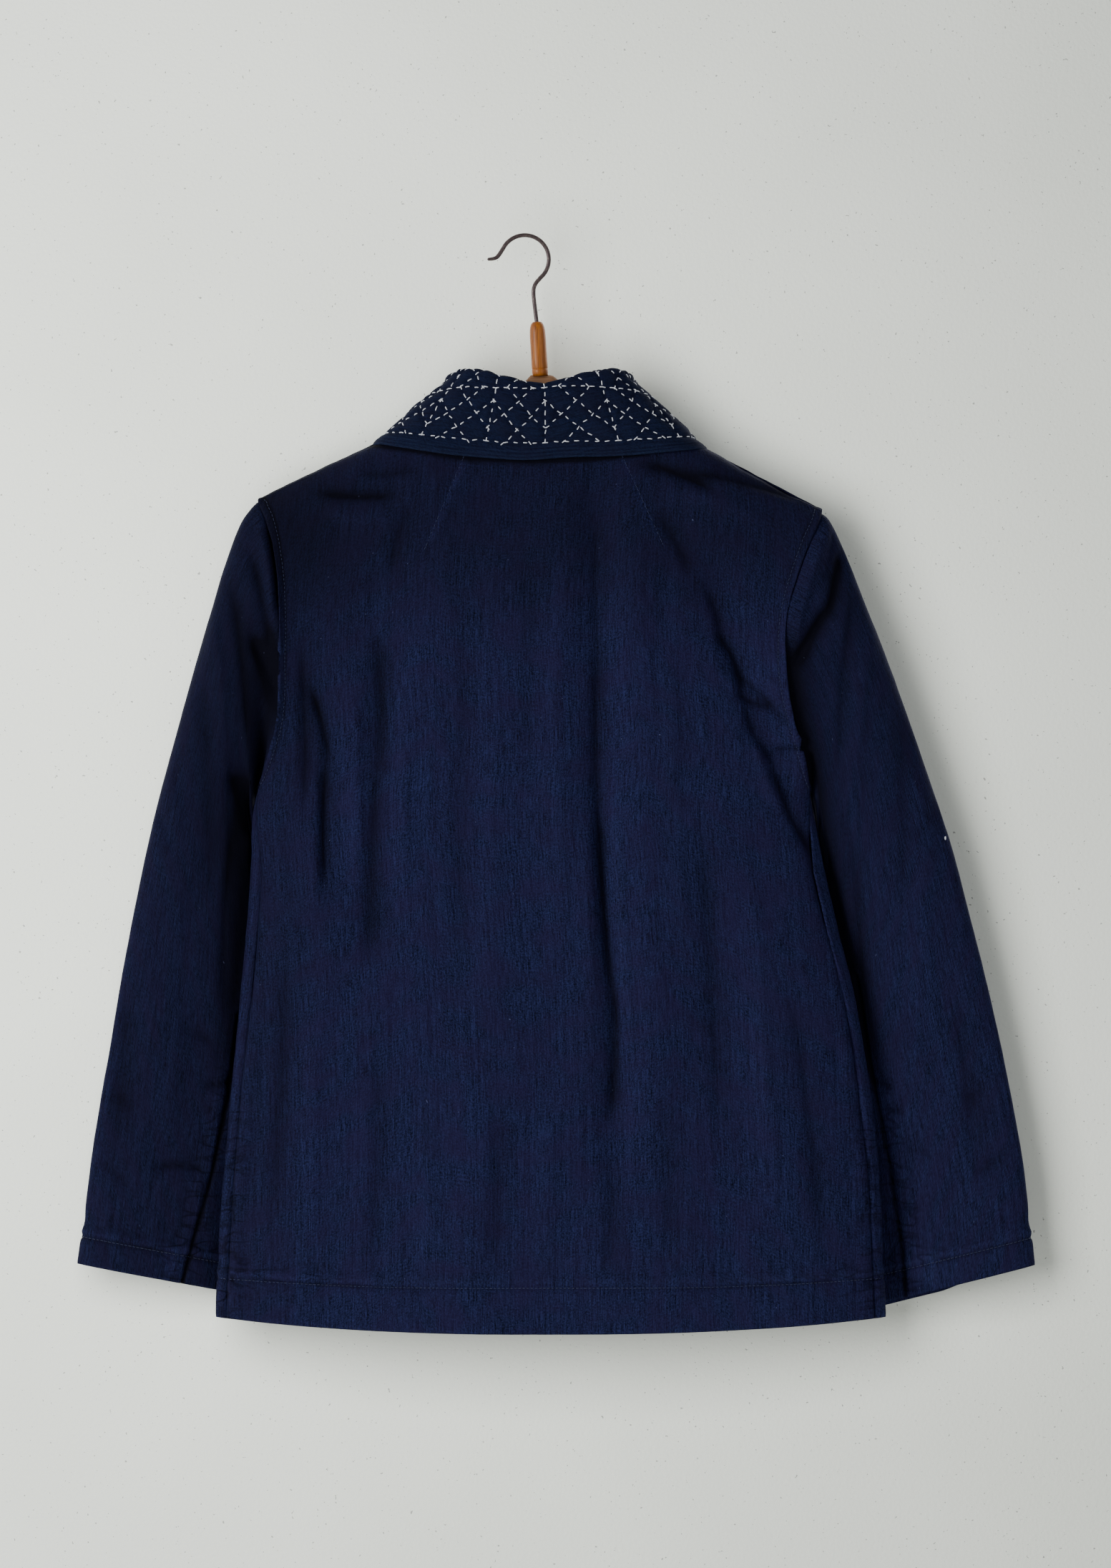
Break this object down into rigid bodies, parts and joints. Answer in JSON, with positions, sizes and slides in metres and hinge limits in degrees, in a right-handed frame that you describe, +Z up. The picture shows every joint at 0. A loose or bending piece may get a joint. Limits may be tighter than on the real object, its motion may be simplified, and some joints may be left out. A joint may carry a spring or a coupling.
{
  "type": "indigo work jacket on a wooden hanger",
  "caption": "Straight indigo cotton jacket with wide sleeves and a stitched turn-down collar, its fronts open, hung on a wooden hanger with a wire hook.",
  "frame": {"origin": "under the top of the hook's bend, where the hanger hangs on a rail or peg", "axes": "+Z up, -Y out of the jacket's back, +Y out of its open fronts, +X towards the wearer's right sleeve"},
  "size_m": [0.7258, 0.0807, 0.8336],
  "materials": {
    "indigo_cotton": "plain-woven indigo-dyed cotton, slubby and a little faded",
    "stitched_cotton": "indigo cotton in two layers, quilted with white running stitch",
    "varnished_wood": "orange-brown varnished hardwood, glossy",
    "bare_wood": "pale brown hardwood, sanded smooth",
    "dark_iron": "dark brown lacquered steel wire"
  },
  "bodies": {
    "root": {"back": "indigo_cotton", "front_left": "indigo_cotton", "front_right": "indigo_cotton", "sleeve_left_back": "indigo_cotton", "sleeve_left_front": "indigo_cotton", "sleeve_right_back": "indigo_cotton", "sleeve_right_front": "indigo_cotton", "collar": "stitched_cotton", "hanger_bar": "bare_wood", "hanger_neck": "varnished_wood", "hook": "dark_iron"}
  },
  "joints": []
}
